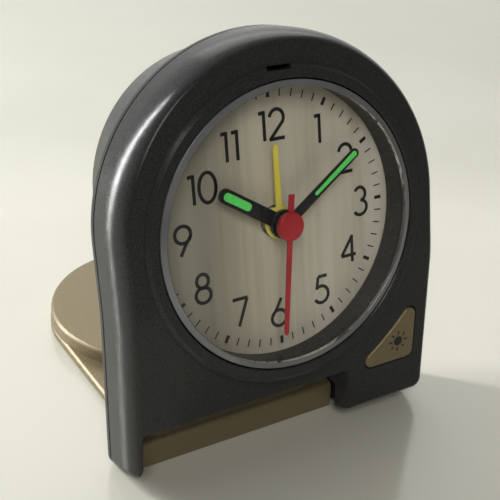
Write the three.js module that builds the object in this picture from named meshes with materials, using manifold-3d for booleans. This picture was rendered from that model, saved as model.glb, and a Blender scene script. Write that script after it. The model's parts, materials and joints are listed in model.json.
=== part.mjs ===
// Folding travel alarm clock. Millimetres, +Z up, the dial faces -Y.
// The origin lies on the table, under the hinged stand cover, 12 mm behind its hinge axis.
import * as THREE from 'three';
import { mergeVertices } from 'three/addons/utils/BufferGeometryUtils.js';
import Module from 'manifold-3d';

const wasm = await Module();
wasm.setup();

// Driving dimensions. Unless it says otherwise, a length is measured in the clock's own frame: x towards
// 3 o'clock, y towards 12 o'clock and z out of the dial, with its zero at the centre of the dial's front.
const LEAN = THREE.MathUtils.degToRad(11.8); // the dial leans back by this much
const DIAL_HEIGHT = 48.6; // dial centre above the table
const HINGE_SETBACK = -12; // world Y of the hinge axis and of the dial centre
const HINGE_HEIGHT = 3.2; // world Z of the hinge axis, and the barrel's radius
const CLEARANCE = 0.3; // between pieces that touch or slide

const CASE_RADIUS = 36.6;
const CASE_CENTRE_Y = 1.35;
const CASE_BOTTOM = -47.2;
const CASE_WALL = 2;
const FACE_Z = 6.2;
const SEAM_FRONT_Z = -4.4;
const SEAM_BACK_Z = -5;
const BACK_PLATE_Z = -13.6;
const FRONT_EDGE = { depth: 7, inset: 2.4 }; // the front edge is a quarter ellipse
const BACK_CHAMFER = { depth: 7.5, inset: 5 };
const FOOT_CORNER_RADIUS = 2.8;
const ARCH_STEPS = 13; // half the number of flats round the arch
const BEND_Y = -12.75; // below this the case is bent backward
const BEND_SLOPE = 0.14;

// The gap between the feet is wider behind knuckleFront, where the hinge barrel turns
const NOTCH = { left: -33.7, right: 14.2, top: -36.1, knuckleRight: 16.2, knuckleFront: 1.9 };
const WINDOW_RADIUS = 28.9;
const RING = { base: 31.6, step: 0.25, foot: 31.3, edge: 30.7, top: 7.2, bottom: 1 };
const DRUM = { y: 5, back: -25, backRadius: 28, frontRadius: 30.4, front: -10, wall: 2 };

const DIAL = { radius: 30, back: -0.8, hole: 3.2 };
const MOVEMENT = { y: 2, radius: 23.3, wall: 1, plateFront: -1.3, plateBack: -2.4, front: -2.7, back: -15 };
const HAND_THICKNESS = 0.4;
const WHEEL_THICKNESS = 0.8;

const BATTERY = { x: -7, y: -29.1, z: -8.2, radius: 5.25, length: 42.5 };
const DOOR = { left: -29, right: 15, bottom: -34.6, top: -24.9, thickness: 1.6 };

const BARREL = { left: -33.4, right: 15.9, half: HINGE_HEIGHT, corner: 0.9 };
const PIN_RADIUS = 0.9;
const COVER = {
  halfWidth: 28.3, thickness: 2.4, centre: 47.8, neck: 16, neckRight: 13.7, bossHeight: 3.2, wall: 1.8,
};

function finish(color, roughness, metalness) {
  return new THREE.MeshStandardMaterial({ color, roughness, metalness });
}

const materials = {
  caseGrey: finish(0x3c3e3e, 0.4, 0.5),
  champagne: finish(0x968a70, 0.4, 0.4),
  dialGold: finish(0xa59e8c, 0.45, 0.3),
  wallGrey: finish(0x35353a, 0.3, 0.1),
  clear: finish(0xf2f6f8, 0.05, 0),
  black: finish(0x111111, 0.4, 0),
  lume: finish(0x46af50, 0.6, 0),
  yellow: finish(0xd7c850, 0.5, 0),
  red: finish(0xbe2832, 0.4, 0),
  ivory: finish(0xe6e0d2, 0.5, 0),
  steel: finish(0xb8babc, 0.3, 1),
  brass: finish(0xb8963c, 0.35, 1),
  copper: finish(0xb06a3a, 0.35, 1),
  board: finish(0x2c5a38, 0.5, 0),
  batteryGreen: finish(0x3a6e52, 0.4, 0.3),
};

const root = new THREE.Group();
const clock = new THREE.Group();
clock.position.set(0, HINGE_SETBACK, DIAL_HEIGHT);
clock.rotation.x = Math.PI / 2 - LEAN;
root.add(clock);
root.updateMatrixWorld(true);

function addPart(parent, name, shape, material) {
  const geometry = shape.isBufferGeometry ? shape : toGeometry(shape);
  const mesh = new THREE.Mesh(geometry, material);
  mesh.name = name;
  parent.add(mesh);
}

// Solids for cutting and joining

function solid(geometry) {
  const bare = geometry.clone();
  bare.deleteAttribute('normal');
  bare.deleteAttribute('uv');
  const merged = mergeVertices(bare, 1e-4);
  const corners = merged.index.array;
  const triangles = [];
  for (let i = 0; i < corners.length; i += 3) {
    const [a, b, c] = [corners[i], corners[i + 1], corners[i + 2]];
    if (a !== b && b !== c && c !== a) {
      triangles.push(a, b, c);
    }
  }
  return new wasm.Manifold(new wasm.Mesh({
    numProp: 3,
    vertProperties: Float32Array.from(merged.attributes.position.array),
    triVerts: Uint32Array.from(triangles),
  }));
}

function toGeometry(manifold) {
  const { vertProperties, triVerts } = manifold.getMesh();
  const geometry = new THREE.BufferGeometry();
  geometry.setAttribute('position', new THREE.BufferAttribute(Float32Array.from(vertProperties), 3));
  geometry.setIndex(new THREE.BufferAttribute(Uint32Array.from(triVerts), 1));
  geometry.computeVertexNormals();
  return geometry;
}

function join(...geometries) {
  return geometries.map((g) => (g.isBufferGeometry ? solid(g) : g)).reduce((sum, next) => sum.add(next));
}

function cut(body, ...tools) {
  return tools.reduce((left, tool) => left.subtract(tool.isBufferGeometry ? solid(tool) : tool), body);
}

// A block between two corners
function block(low, high) {
  const size = high.map((v, i) => v - low[i]);
  return new THREE.BoxGeometry(...size).translate(...low.map((v, i) => v + size[i] / 2));
}

// A round rod along z
function rod(x, y, radius, z0, z1, sides = 16) {
  return new THREE.CylinderGeometry(radius, radius, z1 - z0, sides)
    .rotateX(Math.PI / 2)
    .translate(x, y, (z0 + z1) / 2);
}

// A round rod along x
function crossRod(y, z, radius, x0, x1, sides = 16) {
  return new THREE.CylinderGeometry(radius, radius, x1 - x0, sides)
    .rotateZ(Math.PI / 2)
    .translate((x0 + x1) / 2, y, z);
}

// A turned piece about z, from a closed profile of [radius, z] points
function turned(profile, segments = 48, x = 0, y = 0) {
  const points = profile.map(([radius, z]) => new THREE.Vector2(radius, z));
  const onAxis = points[0].x === 0 && points[points.length - 1].x === 0;
  if (!onAxis) {
    points.push(points[0].clone());
  }
  if (THREE.ShapeUtils.area(points) < 0) {
    points.reverse();
  }
  return toGeometry(solid(new THREE.LatheGeometry(points, segments).rotateX(Math.PI / 2))).translate(x, y, 0);
}

// A flat plate between two heights
function plate(shape, z0, z1, curveSegments = 8) {
  return new THREE.ExtrudeGeometry(shape, { depth: z1 - z0, bevelEnabled: false, curveSegments })
    .translate(0, 0, z0);
}

function discShape(radius, x = 0, y = 0) {
  const shape = new THREE.Shape();
  shape.absarc(x, y, radius, 0, 2 * Math.PI, false);
  return shape;
}

function discPlate(radius, hole, z0, z1, curveSegments = 16) {
  const shape = discShape(radius);
  shape.holes.push(discShape(hole));
  return plate(shape, z0, z1, curveSegments);
}

// Case shells

function archShape(inset, bottom, corner = 0) {
  const half = CASE_RADIUS - inset;
  const shape = new THREE.Shape();
  shape.absarc(0, CASE_CENTRE_Y, half, 0, Math.PI, false);
  if (corner > 0) {
    shape.absarc(-half + corner, bottom + corner, corner, Math.PI, 1.5 * Math.PI, false);
    shape.absarc(half - corner, bottom + corner, corner, 1.5 * Math.PI, 2 * Math.PI, false);
  } else {
    shape.lineTo(-half, bottom);
    shape.lineTo(half, bottom);
  }
  return shape;
}

// An arch whose front end at z = front has an elliptical edge
function roundedArch(inset, bottom, front, edge, segments) {
  const depth = 30;
  return new THREE.ExtrudeGeometry(archShape(inset, bottom), {
    depth,
    bevelThickness: edge.depth,
    bevelSize: edge.inset,
    bevelOffset: -edge.inset,
    bevelSegments: segments,
    curveSegments: ARCH_STEPS,
  }).translate(0, 0, front - depth - edge.depth);
}

// An arch whose back end at z = back is chamfered
function chamferedArch(inset, bottom, back) {
  return new THREE.ExtrudeGeometry(archShape(inset, bottom), {
    depth: 30,
    bevelThickness: BACK_CHAMFER.depth,
    bevelSize: BACK_CHAMFER.inset,
    bevelOffset: -BACK_CHAMFER.inset,
    bevelSegments: 1,
    curveSegments: ARCH_STEPS,
  }).translate(0, 0, back + BACK_CHAMFER.depth);
}

const FAR = 100;

// Everything below BEND_Y is sheared backward, in proportion to its distance below that line
function bend(body) {
  const upper = body.intersect(solid(block([-FAR, BEND_Y, -FAR], [FAR, FAR, FAR])));
  const lower = body.intersect(solid(block([-FAR, -FAR, -FAR], [FAR, BEND_Y, FAR])));
  const shear = new THREE.Matrix4().set(
    1, 0, 0, 0,
    0, 1, 0, 0,
    0, BEND_SLOPE, 1, -BEND_SLOPE * BEND_Y,
    0, 0, 0, 1,
  );
  const bent = solid(toGeometry(lower).applyMatrix4(shear));
  return upper.isEmpty() ? bent : upper.add(bent);
}

// How far back the bend moves a point at this y
function bendAt(y) {
  return BEND_SLOPE * Math.min(0, y - BEND_Y);
}

// The space under the table's surface, in the clock's frame, flattens both feet
function belowTable() {
  return block([-FAR, -FAR, -FAR], [FAR, FAR, 0]).applyMatrix4(clock.matrixWorld.clone().invert());
}

const notch = () => join(
  block([NOTCH.left, -FAR, -FAR], [NOTCH.right, NOTCH.top, FAR]),
  block([NOTCH.left, -FAR, -FAR], [NOTCH.knuckleRight, NOTCH.top, NOTCH.knuckleFront]),
);
const footCorners = () => plate(archShape(0, CASE_BOTTOM, FOOT_CORNER_RADIUS), -60, 60, ARCH_STEPS);

// Hinge axis in the clock's frame
const hinge = new THREE.Vector3(0, HINGE_SETBACK, HINGE_HEIGHT)
  .applyMatrix4(clock.matrixWorld.clone().invert());
const PIN_BEDDING = 1.8; // how far a pin reaches into its leg and into the barrel
const PIN_HOLE_RADIUS = PIN_RADIUS + 0.12;

const BUTTON = {
  top: [29.7, -26.4], left: [20.5, -34.9], right: [29.7, -34.9], corner: 1.8, hollowRadius: 60,
  front: FACE_Z + 0.4,
};

// Three-cornered button outline with round corners, whose long side is slightly hollow
function buttonShape(grow) {
  const radius = BUTTON.corner + grow;
  const top = new THREE.Vector2(...BUTTON.top);
  const left = new THREE.Vector2(...BUTTON.left);
  const chord = top.clone().sub(left);
  const outward = new THREE.Vector2(-chord.y, chord.x).normalize();
  const distance = Math.sqrt(BUTTON.hollowRadius ** 2 - chord.lengthSq() / 4);
  const centre = top.clone().add(left).multiplyScalar(0.5).addScaledVector(outward, distance);
  const arcTop = Math.atan2(top.y - centre.y, top.x - centre.x);
  const arcLeft = Math.atan2(left.y - centre.y, left.x - centre.x);
  const shape = new THREE.Shape();
  shape.absarc(top.x, top.y, radius, 0, Math.PI + arcTop, false);
  shape.absarc(centre.x, centre.y, BUTTON.hollowRadius - radius, arcTop, arcLeft, true);
  shape.absarc(left.x, left.y, radius, Math.PI + arcLeft, 1.5 * Math.PI, false);
  shape.absarc(...BUTTON.right, radius, 1.5 * Math.PI, 2 * Math.PI, false);
  return shape;
}

const SCREW_SPOTS = [[-28.8, -17.5], [28.8, -17.5], [-16, 22], [16, 22]];
const SCREW = { head: 1.9, shank: 0.8, hole: 1.1, boss: 2.3 };

const batteryBed = () => crossRod(
  BATTERY.y, BATTERY.z, BATTERY.radius + CLEARANCE, DOOR.left, DOOR.right, 20,
);

// The pins lie in the seam, so each shell holds half of every pin hole
const pinHoles = () => [
  crossRod(hinge.y, hinge.z, PIN_HOLE_RADIUS, NOTCH.left - PIN_BEDDING, NOTCH.left + 1, 12),
  crossRod(hinge.y, hinge.z, PIN_HOLE_RADIUS, NOTCH.knuckleRight - 1, NOTCH.knuckleRight + PIN_BEDDING, 12),
];

// The right foot is hollow behind the button; the wall stands beside the hinge barrel's space
const FOOT_HOLLOW = { wall: 1, bottom: -43, height: 4 };

function frontShell() {
  const innerFace = FACE_Z - CASE_WALL;
  const innerEdge = { depth: FRONT_EDGE.depth - CASE_WALL, inset: FRONT_EDGE.inset };
  const floor = NOTCH.top + CASE_WALL;
  const footRoof = floor + FOOT_HOLLOW.height;
  const outer = solid(roundedArch(0, CASE_BOTTOM, FACE_Z, FRONT_EDGE, 4))
    .intersect(solid(footCorners()))
    .intersect(solid(block([-FAR, -FAR, SEAM_FRONT_Z], [FAR, FAR, FAR])));
  const hollow = join(
    roundedArch(CASE_WALL, floor, innerFace, innerEdge, 2),
    block(
      [NOTCH.knuckleRight + FOOT_HOLLOW.wall, FOOT_HOLLOW.bottom, -FAR],
      [CASE_RADIUS - 3, footRoof, innerFace - 0.8],
    ),
  );
  const shell = bend(cut(outer, hollow, notch(), plate(buttonShape(CLEARANCE), -FAR, FAR, 6)));
  const bezel = turned([
    [WINDOW_RADIUS - 1, RING.bottom],
    [RING.base, RING.bottom],
    [RING.base, FACE_Z + RING.step],
    [RING.foot, FACE_Z + RING.step],
    [RING.edge, RING.top],
    [WINDOW_RADIUS - 1, RING.top],
  ], 48);
  const bosses = SCREW_SPOTS.slice(0, 2).map(([x, y]) => rod(x, y, SCREW.boss, -3, innerFace - 0.5, 12));
  const shankHoles = SCREW_SPOTS.slice(0, 2).map(([x, y]) => rod(x, y, SCREW.hole, -FAR, 1, 12));
  const catchSlot = block([-2.5, 29.9, 5], [2.5, 31.8, 6.3]);
  return cut(
    join(shell, bezel, ...bosses),
    rod(0, 0, WINDOW_RADIUS, -2, FAR, 48),
    ...shankHoles,
    catchSlot,
    batteryBed(),
    ...pinHoles(),
    belowTable(),
  );
}

const TIME_ARBOR = [0, -11];
const ALARM_ANGLE = THREE.MathUtils.degToRad(-20);
const ALARM_DISTANCE = 9.8;
const ALARM_ARBOR = [ALARM_DISTANCE * Math.cos(ALARM_ANGLE), ALARM_DISTANCE * Math.sin(ALARM_ANGLE)];
const ARBOR = { radius: 0.7, hole: 1.1 };
const BUZZER = { x: -9, y: 13, radius: 8 };
const SWITCH = { x: 12, y: 15, travel: 4 };

function backShell() {
  const floor = NOTCH.top + CASE_WALL;
  const inside = BACK_PLATE_Z + CASE_WALL;
  const outer = solid(chamferedArch(0, CASE_BOTTOM, BACK_PLATE_Z))
    .intersect(solid(footCorners()))
    .intersect(solid(block([-FAR, -FAR, -FAR], [FAR, FAR, SEAM_BACK_Z])));
  const lip = plate(archShape(0.7, floor - 1), SEAM_BACK_Z - 1, SEAM_BACK_Z + 0.3, ARCH_STEPS);
  const hollow = solid(chamferedArch(CASE_WALL, floor - BACK_CHAMFER.inset, inside))
    .intersect(solid(block([-FAR, floor, -FAR], [FAR, FAR, FAR])));
  const doorway = block([DOOR.left, DOOR.bottom, -FAR], [DOOR.right, DOOR.top, inside + 1]);
  const buttonWell = block(
    [NOTCH.knuckleRight + FOOT_HOLLOW.wall, FOOT_HOLLOW.bottom + 1, SEAM_BACK_Z - 3],
    [CASE_RADIUS - 4, floor + 1, FAR],
  );
  const rim = bend(cut(join(outer, lip), hollow, doorway, buttonWell, notch()));
  const drum = turned([
    [0, DRUM.back],
    [DRUM.backRadius - 1, DRUM.back],
    [DRUM.backRadius, DRUM.back + 1],
    [DRUM.frontRadius, DRUM.front],
    [0, DRUM.front],
  ], 36, 0, DRUM.y);
  const drumHollow = turned([
    [0, DRUM.back + DRUM.wall],
    [DRUM.backRadius - DRUM.wall, DRUM.back + DRUM.wall],
    [DRUM.frontRadius - DRUM.wall, DRUM.front + 1],
    [0, DRUM.front + 1],
  ], 36, 0, DRUM.y);
  const throughDrum = [TIME_ARBOR, ALARM_ARBOR].map(([x, y]) => rod(x, y, ARBOR.hole, -30, -20, 12));
  const soundHoles = [0, 1, 2, 3, 4, 5].map((i) => {
    const angle = (i * Math.PI) / 3;
    return rod(BUZZER.x + 3.2 * Math.cos(angle), BUZZER.y + 3.2 * Math.sin(angle), 0.8, -30, -20, 8);
  });
  const switchSlot = block(
    [SWITCH.x - 2.2, SWITCH.y - 1.5, -30],
    [SWITCH.x + 2.2 + SWITCH.travel, SWITCH.y + 1.5, -20],
  );
  const screwHoles = SCREW_SPOTS.flatMap(([x, y], i) => {
    const surface = i < 2 ? BACK_PLATE_Z + bendAt(y) : DRUM.back;
    return [
      rod(x, y, SCREW.hole, surface - 5, surface + 4, 12),
      rod(x, y, SCREW.head + 0.3, surface - 5, surface + 1, 16),
    ];
  });
  return cut(
    join(rim, drum),
    drumHollow,
    batteryBed(),
    ...throughDrum,
    ...soundHoles,
    switchSlot,
    ...screwHoles,
    ...pinHoles(),
    belowTable(),
  );
}

addPart(clock, 'front_shell', frontShell(), materials.caseGrey);
addPart(clock, 'back_shell', backShell(), materials.caseGrey);

SCREW_SPOTS.forEach(([x, y], i) => {
  const low = i < 2;
  const surface = low ? BACK_PLATE_Z + bendAt(y) : DRUM.back;
  const head = rod(x, y, SCREW.head, surface - 0.3, surface + 1 - CLEARANCE, 16);
  const shank = rod(x, y, SCREW.shank, surface + 0.5, low ? 0.5 : surface + 5, 10);
  addPart(clock, `case_screw_${i + 1}`, join(head, shank), materials.steel);
});

// Lens, chapter ring and dial

function lensProfile() {
  const rimRadius = WINDOW_RADIUS - CLEARANCE;
  const dome = (base, rise, radius) => (t) => [radius * t, base + rise * (1 - t * t)];
  const outerDome = dome(7.1, 0.9, rimRadius - 1);
  const innerDome = dome(6.3, 0.9, rimRadius - 1.6);
  const steps = [0, 0.35, 0.7, 1];
  return [
    ...steps.map(outerDome),
    [rimRadius, 6.6],
    [rimRadius, 6],
    ...steps.map(innerDome).reverse(),
  ];
}

addPart(clock, 'lens', turned(lensProfile(), 40), materials.clear);
addPart(clock, 'chapter_ring', turned([
  [27.7, 0.3],
  [29.8, 0.3],
  [29.8, 0.6],
  [WINDOW_RADIUS - CLEARANCE, 0.8],
  [WINDOW_RADIUS - CLEARANCE, 5.7],
  [28.2, 5.7],
], 40), materials.wallGrey);
addPart(clock, 'dial', discPlate(DIAL.radius, DIAL.hole, DIAL.back, 0), materials.dialGold);

// Hands

// A pointer from the hub out to the given length, turned clockwise from 12 o'clock
function handGeometry({ hub, hole, length, tail = 0, widthRoot, widthTip, angle, z }) {
  const pointer = new THREE.Shape();
  pointer.moveTo(widthRoot / 2, -tail);
  pointer.lineTo(widthTip / 2, length);
  pointer.lineTo(-widthTip / 2, length);
  pointer.lineTo(-widthRoot / 2, -tail);
  const arm = plate(pointer, z, z + HAND_THICKNESS);
  const boss = rod(0, 0, hub, z, z + HAND_THICKNESS);
  const bore = rod(0, 0, hole, z - 1, z + 2);
  return toGeometry(cut(join(arm, boss), bore)).rotateZ(-THREE.MathUtils.degToRad(angle));
}

function lumeGeometry({ from, to, width, angle, z }) {
  return block([-width / 2, from, z], [width / 2, to, z + 0.2]).rotateZ(-THREE.MathUtils.degToRad(angle));
}

const HOUR_ANGLE = 304;
const MINUTE_ANGLE = 56;
const SECOND_ANGLE = 186;
const ALARM_HAND_Z = 1.6;
const HOUR_HAND_Z = 2.9;
const MINUTE_HAND_Z = 4.1;

addPart(clock, 'alarm_hand', handGeometry({
  hub: 3.3, hole: 2.8, length: 15.8, widthRoot: 1.3, widthTip: 1, angle: 0, z: ALARM_HAND_Z,
}), materials.yellow);
addPart(clock, 'hour_hand', handGeometry({
  hub: 2.9, hole: 2.05, length: 16.3, widthRoot: 3, widthTip: 3, angle: HOUR_ANGLE, z: HOUR_HAND_Z,
}), materials.black);
addPart(clock, 'minute_hand', handGeometry({
  hub: 2.4, hole: 1.3, length: 21.3, widthRoot: 2.2, widthTip: 1.2, angle: MINUTE_ANGLE, z: MINUTE_HAND_Z,
}), materials.black);
addPart(clock, 'hour_hand_lume', lumeGeometry({
  from: 8.5, to: 15.1, width: 1.6, angle: HOUR_ANGLE, z: HOUR_HAND_Z + HAND_THICKNESS + 0.02,
}), materials.lume);
addPart(clock, 'minute_hand_lume', lumeGeometry({
  from: 8.6, to: 20.6, width: 0.8, angle: MINUTE_ANGLE, z: MINUTE_HAND_Z + HAND_THICKNESS + 0.02,
}), materials.lume);

function secondHand() {
  const needle = new THREE.Shape();
  needle.moveTo(0.65, -6.4);
  needle.lineTo(0.3, 22.4);
  needle.lineTo(-0.3, 22.4);
  needle.lineTo(-0.65, -6.4);
  const cap = turned([[0, 5.2], [2.7, 5.2], [2.9, 5.4], [2.9, 6.1], [2.4, 6.35], [0, 6.45]], 24);
  const bore = rod(0, 0, 0.65, 4, 6, 12);
  return toGeometry(cut(join(plate(needle, 5.5, 5.9), cap), bore))
    .rotateZ(-THREE.MathUtils.degToRad(SECOND_ANGLE));
}

addPart(clock, 'second_hand', secondHand(), materials.red);

// Movement: each level of the gear train is one wheel thick

const levels = { alarm: -4.2, hour: -5.6, cannon: -7, minute: -8.4, third: -9.8, second: -11.2, step: -12.6 };
const PIVOT_FRONT = -2.9;
const PIVOT_BACK = -13.6;
const TOOTH_DEPTH = 0.6;

// A zigzag round a circle, between two radii
function toothedShape(teeth, root, tip) {
  const points = [];
  for (let i = 0; i < 2 * teeth; i += 1) {
    const radius = i % 2 ? tip : root;
    const angle = (i * Math.PI) / teeth;
    points.push(new THREE.Vector2(radius * Math.cos(angle), radius * Math.sin(angle)));
  }
  return new THREE.Shape(points);
}

// Pointed teeth that stop just short of the pitch circle
function gear(teeth, pitchRadius, z, hole = 0) {
  const tip = pitchRadius - 0.08;
  const shape = toothedShape(teeth, tip - TOOTH_DEPTH, tip);
  if (hole > 0) {
    shape.holes.push(discShape(hole));
  }
  return plate(shape, z, z + WHEEL_THICKNESS, 6);
}

const MOTION_DISTANCE = 11;
const THIRD_DISTANCE = 9.4;
const STEP_DISTANCE = 9.8;
const ROTOR_DISTANCE = 8.4;
const polar = (distance, degrees) => {
  const angle = THREE.MathUtils.degToRad(degrees);
  return [distance * Math.cos(angle), distance * Math.sin(angle)];
};
const THIRD_SPOT = polar(THIRD_DISTANCE, 150);
const STEP_SPOT = polar(STEP_DISTANCE, 60);
const ROTOR_SPOT = polar(ROTOR_DISTANCE, 20).map((v, i) => v + STEP_SPOT[i]);

// Pitch radii of a wheel and pinion pair at a given distance
const share = (distance, own, other) => (distance * own) / (own + other);

const tube = (inner, outer, z0, z1) => turned([[inner, z0], [outer, z0], [outer, z1], [inner, z1]], 14);

addPart(clock, 'alarm_wheel', join(
  gear(41, share(ALARM_DISTANCE, 41, 8), levels.alarm, 2.3),
  tube(2.15, 2.65, levels.alarm, ALARM_HAND_Z + 0.6),
), materials.ivory);
addPart(clock, 'hour_wheel', join(
  gear(32, share(MOTION_DISTANCE, 32, 8), levels.hour, 1.6),
  tube(1.4, 1.9, levels.hour, HOUR_HAND_Z + 0.6),
), materials.ivory);
addPart(clock, 'minute_wheel', join(
  gear(9, share(MOTION_DISTANCE, 9, 27), levels.cannon, 0.9),
  gear(48, share(THIRD_DISTANCE, 48, 6), levels.minute, 0.9),
  tube(0.75, 1.15, levels.minute, MINUTE_HAND_Z + 0.6),
), materials.ivory);
addPart(clock, 'seconds_wheel', join(
  gear(42, share(STEP_DISTANCE, 42, 7), levels.second),
  gear(6, share(THIRD_DISTANCE, 6, 45), levels.third),
  rod(0, 0, 0.5, PIVOT_BACK, 5.7, 12),
), materials.ivory);
addPart(clock, 'third_wheel', toGeometry(join(
  gear(45, share(THIRD_DISTANCE, 45, 6), levels.third),
  gear(6, share(THIRD_DISTANCE, 6, 48), levels.minute),
  rod(0, 0, 0.45, PIVOT_BACK, PIVOT_FRONT, 10),
)).translate(...THIRD_SPOT, 0), materials.ivory);
addPart(clock, 'intermediate_wheel', toGeometry(join(
  gear(40, share(ROTOR_DISTANCE, 40, 8), levels.step),
  gear(7, share(STEP_DISTANCE, 7, 42), levels.second),
  rod(0, 0, 0.45, PIVOT_BACK, PIVOT_FRONT, 10),
)).translate(...STEP_SPOT, 0), materials.ivory);
addPart(clock, 'rotor', toGeometry(join(
  gear(8, share(ROTOR_DISTANCE, 8, 40), levels.step),
  rod(0, 0, 1.9, -9.4, -6.2, 20),
  rod(0, 0, 0.45, PIVOT_BACK, PIVOT_FRONT, 10),
)).translate(...ROTOR_SPOT, 0), materials.steel);
addPart(clock, 'motion_wheel', toGeometry(join(
  gear(27, share(MOTION_DISTANCE, 27, 9), levels.cannon),
  gear(8, share(MOTION_DISTANCE, 8, 32), levels.hour),
  rod(0, 0, ARBOR.radius, -25.6, PIVOT_FRONT, 12),
)).translate(...TIME_ARBOR, 0), materials.ivory);
addPart(clock, 'alarm_arbor', toGeometry(join(
  gear(8, share(ALARM_DISTANCE, 8, 41), levels.alarm),
  rod(0, 0, ARBOR.radius, -25.6, PIVOT_FRONT, 12),
)).translate(...ALARM_ARBOR, 0), materials.ivory);

// Knobs outside the back, with a grip of shallow flutes
function knob([x, y]) {
  const body = solid(plate(toothedShape(20, 4.5, 4.8), -27.6, -25.3));
  return toGeometry(cut(body, rod(0, 0, ARBOR.radius + 0.15, -26, -20, 12))).translate(x, y, 0);
}

addPart(clock, 'time_knob', knob(TIME_ARBOR), materials.black);
addPart(clock, 'alarm_knob', knob(ALARM_ARBOR), materials.black);

function movementHousing() {
  const { radius, wall, front, back, y } = MOVEMENT;
  const cup = solid(turned([
    [0, back],
    [radius, back],
    [radius, front],
    [radius - wall, front],
    [radius - wall, back + wall],
    [0, back + wall],
  ], 28, 0, y));
  const arborHoles = [TIME_ARBOR, ALARM_ARBOR].map(([x, z]) => rod(x, z, ARBOR.hole, back - 1, back + 2, 12));
  return cut(cup, ...arborHoles);
}

const movementPlate = cut(
  solid(rod(0, MOVEMENT.y, MOVEMENT.radius, MOVEMENT.plateBack, MOVEMENT.plateFront, 28)),
  rod(0, 0, 3, -5, 0),
);
addPart(clock, 'movement_housing', movementHousing(), materials.ivory);
addPart(clock, 'movement_front_plate', movementPlate, materials.ivory);

// The stator is one flat loop: a bar through the coil, an arm on each side and a ring round the rotor
const COIL = { y: 17.5, z: -8, halfLength: 6.5, outer: 2.5, inner: 1.3 };

function stator() {
  const [x, y] = ROTOR_SPOT;
  const [low, high] = [COIL.z - 0.4, COIL.z + 0.4];
  const loop = join(
    block([-9.5, COIL.y - 0.8, low], [12, COIL.y + 0.8, high]),
    block([-9.5, 10.6, low], [-7.7, COIL.y, high]),
    block([-9.5, 10.6, low], [x - 2.8, 12.4, high]),
    block([10, y + 2.8, low], [12, COIL.y, high]),
    rod(x, y, 3.6, low, high),
  );
  return cut(loop, rod(x, y, 2.3, low - 1, high + 1));
}

addPart(clock, 'stator', stator(), materials.steel);
addPart(clock, 'coil', turned([
  [COIL.inner, -COIL.halfLength],
  [COIL.outer, -COIL.halfLength],
  [COIL.outer, COIL.halfLength],
  [COIL.inner, COIL.halfLength],
], 20).rotateY(Math.PI / 2).translate(0, COIL.y, COIL.z), materials.copper);
addPart(clock, 'circuit_board', block([-11, 13.2, -13.6], [11, 20.2, -12.8]), materials.board);

// Alarm sounder, its switch, and the lamp beside the dial

addPart(clock, 'buzzer', turned([[0, -22.6], [BUZZER.radius, -22.6], [BUZZER.radius, -21.8], [0, -21.2]], 32,
  BUZZER.x, BUZZER.y), materials.brass);
addPart(clock, 'alarm_switch', join(
  block([SWITCH.x - 3.2, SWITCH.y - 2.4, -22.6], [SWITCH.x + 3.2, SWITCH.y + 2.4, -21.6]),
  block([SWITCH.x - 1.8, SWITCH.y - 1.2, -26.4], [SWITCH.x + 1.8, SWITCH.y + 1.2, -22]),
), materials.black);

const LAMP = { x: -23.4, y: 23.4 };
addPart(clock, 'lamp', turned(
  [[0, -2], [1.2, -2], [1.2, 0.2], [0.8, 1], [0, 1.3]], 16, LAMP.x, LAMP.y,
), materials.clear);
addPart(clock, 'lamp_holder', cut(
  solid(rod(LAMP.x, LAMP.y, 1.9, -2.8, -0.4, 16)),
  rod(LAMP.x, LAMP.y, 1.45, -2.3, 1, 16),
), materials.ivory);

// Battery, its contacts and its door

function battery() {
  const { x, y, z, radius, length } = BATTERY;
  const [left, right] = [x - length / 2, x + length / 2];
  return join(
    crossRod(y, z, radius, left, right, 20),
    crossRod(y, z, 1.9, left - 1, left + 1, 16),
  );
}

function minusSpring() {
  const turns = 2.5;
  const pitch = 1;
  const path = [];
  for (let i = 0; i <= turns * 10; i += 1) {
    const turn = i / 10;
    const angle = turn * 2 * Math.PI;
    const radius = 3.4 - 0.6 * turn;
    path.push(new THREE.Vector3(turn * pitch, radius * Math.cos(angle), radius * Math.sin(angle)));
  }
  const spring = new THREE.ExtrudeGeometry(discShape(0.3), {
    steps: 26,
    extrudePath: new THREE.CatmullRomCurve3(path),
    curveSegments: 3,
  });
  const end = BATTERY.x + BATTERY.length / 2;
  return spring.rotateZ(Math.PI).translate(end + turns * pitch + 0.7, BATTERY.y, BATTERY.z);
}

const BATTERY_LEFT = BATTERY.x - BATTERY.length / 2;
addPart(clock, 'battery', battery(), materials.batteryGreen);
addPart(clock, 'battery_plus_contact', block(
  [BATTERY_LEFT - 1.8, BATTERY.y - 3.5, BATTERY.z - 3],
  [BATTERY_LEFT - 1.3, BATTERY.y + 3.5, BATTERY.z + 3],
), materials.steel);
addPart(clock, 'battery_minus_spring', minusSpring(), materials.steel);
addPart(clock, 'battery_door', bend(solid(block(
  [DOOR.left + CLEARANCE, DOOR.bottom + CLEARANCE, BACK_PLATE_Z],
  [DOOR.right - CLEARANCE, DOOR.top - CLEARANCE, BACK_PLATE_Z + DOOR.thickness],
))), materials.caseGrey);

// Snooze and light button: the cap passes through the face, a flange behind it stops it falling out

const BUTTON_FLANGE_Z = 1.2;
addPart(clock, 'snooze_button', bend(join(
  plate(buttonShape(0), BUTTON_FLANGE_Z, BUTTON.front, 6),
  plate(buttonShape(0.8), BUTTON_FLANGE_Z, BUTTON_FLANGE_Z + 0.9, 6),
)), materials.champagne);
addPart(clock, 'snooze_contact', bend(solid(block([24, -35, -1.4], [31, -32, -0.8]))), materials.steel);

// Hinge pins

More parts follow.
